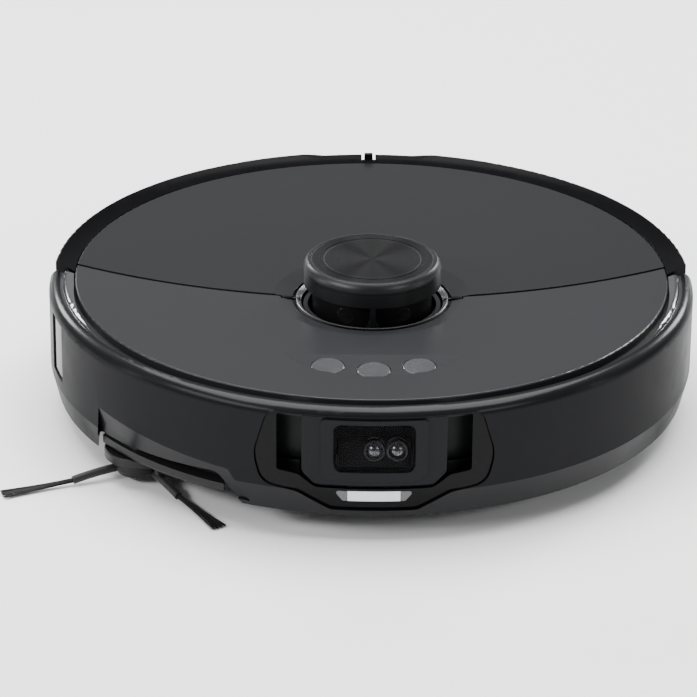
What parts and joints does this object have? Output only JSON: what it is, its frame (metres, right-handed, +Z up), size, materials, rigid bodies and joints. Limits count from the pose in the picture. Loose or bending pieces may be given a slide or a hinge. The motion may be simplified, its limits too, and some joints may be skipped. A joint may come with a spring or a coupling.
{
  "type": "robot vacuum cleaner",
  "caption": "Round robot vacuum with a scanning turret, hinged lid, sprung front bumper around a camera, roller brush, side brush and drive wheels.",
  "frame": {"origin": "on the floor under the vertical axis of the round body, wheels and caster touching the floor", "axes": "+Z up, -Y is the driving direction (bumper and camera), +X is the right-hand side seen from the front"},
  "size_m": [0.3679, 0.3472, 0.0965],
  "materials": {
    "chassis_plastic": "moulded matt",
    "frame_plastic": "moulded matt",
    "shell_plastic": "satin",
    "panel_grey": "satin paint",
    "lid_grey": "satin paint",
    "rim_black": "semi-gloss",
    "trim_silver": "gloss",
    "turret_plastic": "satin",
    "tub_plastic": "semi-gloss",
    "rotor_plastic": "matt",
    "disc_metal": "spun",
    "lens_glass": "polished",
    "bumper_plastic": "satin",
    "visor_gloss": "high gloss",
    "window_dark": "infrared window",
    "camera_plastic": "satin",
    "camera_glass": "tinted",
    "lamp_white": "diffuser",
    "lamp_ends": "gloss",
    "button_grey": "satin",
    "steel": "drawn wire",
    "contact_metal": "plated",
    "board_green": "solder mask",
    "battery_wrap": "shrink wrap",
    "motor_metal": "brushed",
    "fan_plastic": "moulded",
    "bin_clear": "smoked",
    "filter_white": "pleated",
    "brush_core": "moulded",
    "brush_rubber": "soft",
    "side_brush_plastic": "moulded",
    "arm_rubber": "soft",
    "bristle": "nylon fibre",
    "tyre_rubber": "treaded",
    "hub_plastic": "moulded",
    "caster_white": "moulded",
    "belt_rubber": "moulded"
  },
  "bodies": {
    "chassis": {"battery_pack": "battery_wrap", "brush_cover": "chassis_plastic", "brush_gearbox": "fan_plastic", "bumper_springs": "steel", "button_board": "board_green", "camera_glass": "camera_glass", "camera_housing": "camera_plastic", "camera_lenses": "lens_glass", "charging_contacts": "contact_metal", "chassis_base": "chassis_plastic", "chassis_screws": "steel", "cliff_windows": "window_dark", "dock_sensor_window": "window_dark", "drive_springs": "steel", "dust_bin": "bin_clear", "dust_bin_lid": "bin_clear", "dust_filter": "filter_white", "exhaust_grilles": "shell_plastic", "fan_housing": "fan_plastic", "front_panel": "panel_grey", "lid_locator": "window_dark", "lidar_belt": "belt_rubber", "lidar_motor": "motor_metal", "lidar_tub": "tub_plastic", "main_board": "board_green", "mid_frame": "frame_plastic", "rear_shell": "shell_plastic", "side_brush_motor": "motor_metal", "trim_crescents": "trim_silver"},
    "lid": {"lid_plate": "lid_grey", "lid_frame": "rim_black", "hinge_pins": "steel"},
    "bumper": {"bumper_shell": "bumper_plastic", "visor_frame": "visor_gloss", "light_diffuser": "lamp_white", "light_ends": "lamp_ends", "wall_sensor_window": "window_dark"},
    "cap": {"turret_cap": "turret_plastic", "cap_disc": "disc_metal"},
    "scanner": {"lidar_rotor": "rotor_plastic", "lidar_eyes": "lens_glass"},
    "scanner_pulley": {"lidar_pulley": "fan_plastic"},
    "left_button": {"button_left": "button_grey"},
    "power_button": {"button_power": "button_grey"},
    "right_button": {"button_right": "button_grey"},
    "left_arm": {"drive_arm_left": "hub_plastic"},
    "right_arm": {"drive_arm_right": "hub_plastic"},
    "left_wheel": {"wheel_hub_left": "hub_plastic", "tyre_left": "tyre_rubber"},
    "right_wheel": {"wheel_hub_right": "hub_plastic", "tyre_right": "tyre_rubber"},
    "roller": {"brush_core": "brush_core", "brush_fins": "brush_rubber"},
    "side_brush": {"side_brush_hub": "side_brush_plastic", "side_brush_arms": "arm_rubber", "side_brush_bristles": "bristle"},
    "caster_swivel": {"caster_fork": "fan_plastic", "caster_axle": "steel"},
    "caster_roller": {"caster_wheel": "caster_white"},
    "impeller": {"fan_impeller": "fan_plastic"}
  },
  "joints": [
    {"name": "lid_hinge", "type": "hinge", "parent": "chassis", "child": "lid", "pos_m": [0, -0.0315, 0.073], "axis": [1, 0, 0], "range_deg": [0, 70]},
    {"name": "bumper_press", "type": "slide", "parent": "chassis", "child": "bumper", "axis": [0, 1, 0], "range_m": [0, 0.003], "stiffness_N_per_m": 500, "springref_m": -0.002, "deforming": ["bumper_springs"]},
    {"name": "cap_press", "type": "slide", "parent": "chassis", "child": "cap", "axis": [0, 0, -1], "range_m": [0, 0.0015], "stiffness_N_per_m": 900, "springref_m": -0.001},
    {"name": "scanner_spin", "type": "hinge", "parent": "chassis", "child": "scanner", "pos_m": [0, -0.031, 0.07], "axis": [0, 0, 1], "continuous": true},
    {"name": "scanner_pulley_spin", "type": "hinge", "parent": "chassis", "child": "scanner_pulley", "pos_m": [0, 0.001, 0.063], "axis": [0, 0, 1], "continuous": true},
    {"name": "left_button_press", "type": "slide", "parent": "chassis", "child": "left_button", "axis": [0, 0, -1], "range_m": [0, 0.0008], "stiffness_N_per_m": 1200, "springref_m": -0.0003},
    {"name": "power_button_press", "type": "slide", "parent": "chassis", "child": "power_button", "axis": [0, 0, -1], "range_m": [0, 0.0008], "stiffness_N_per_m": 1200, "springref_m": -0.0003},
    {"name": "right_button_press", "type": "slide", "parent": "chassis", "child": "right_button", "axis": [0, 0, -1], "range_m": [0, 0.0008], "stiffness_N_per_m": 1200, "springref_m": -0.0003},
    {"name": "left_wheel_drop", "type": "hinge", "parent": "chassis", "child": "left_arm", "pos_m": [-0.096, -0.038, 0.038], "axis": [-1, 0, 0], "range_deg": [0, 16], "stiffness_Nm_per_rad": 0.25, "springref_deg": 28.65, "deforming": ["drive_springs"]},
    {"name": "right_wheel_drop", "type": "hinge", "parent": "chassis", "child": "right_arm", "pos_m": [0.096, -0.038, 0.038], "axis": [-1, 0, 0], "range_deg": [0, 16], "stiffness_Nm_per_rad": 0.25, "springref_deg": 28.65, "deforming": ["drive_springs"]},
    {"name": "left_wheel_spin", "type": "hinge", "parent": "left_arm", "child": "left_wheel", "pos_m": [-0.12, 0, 0.033], "axis": [1, 0, 0], "continuous": true},
    {"name": "right_wheel_spin", "type": "hinge", "parent": "right_arm", "child": "right_wheel", "pos_m": [0.12, 0, 0.033], "axis": [1, 0, 0], "continuous": true},
    {"name": "roller_spin", "type": "hinge", "parent": "chassis", "child": "roller", "pos_m": [-0.007, 0.024, 0.0235], "axis": [1, 0, 0], "continuous": true},
    {"name": "side_brush_spin", "type": "hinge", "parent": "chassis", "child": "side_brush", "pos_m": [-0.122, -0.098, 0.016], "axis": [0, 0, 1], "continuous": true},
    {"name": "caster_turn", "type": "hinge", "parent": "chassis", "child": "caster_swivel", "pos_m": [0, -0.128, 0.03], "axis": [0, 0, 1], "continuous": true},
    {"name": "caster_roll", "type": "hinge", "parent": "caster_swivel", "child": "caster_roller", "pos_m": [0, -0.124, 0.013], "axis": [1, 0, 0], "continuous": true},
    {"name": "impeller_spin", "type": "hinge", "parent": "chassis", "child": "impeller", "pos_m": [0.076, 0.088, 0.035], "axis": [0, 0, 1], "continuous": true}
  ],
  "couplings": [
    {"joint": "scanner_pulley_spin", "follows": "scanner_spin", "ratio": 7.1429}
  ]
}
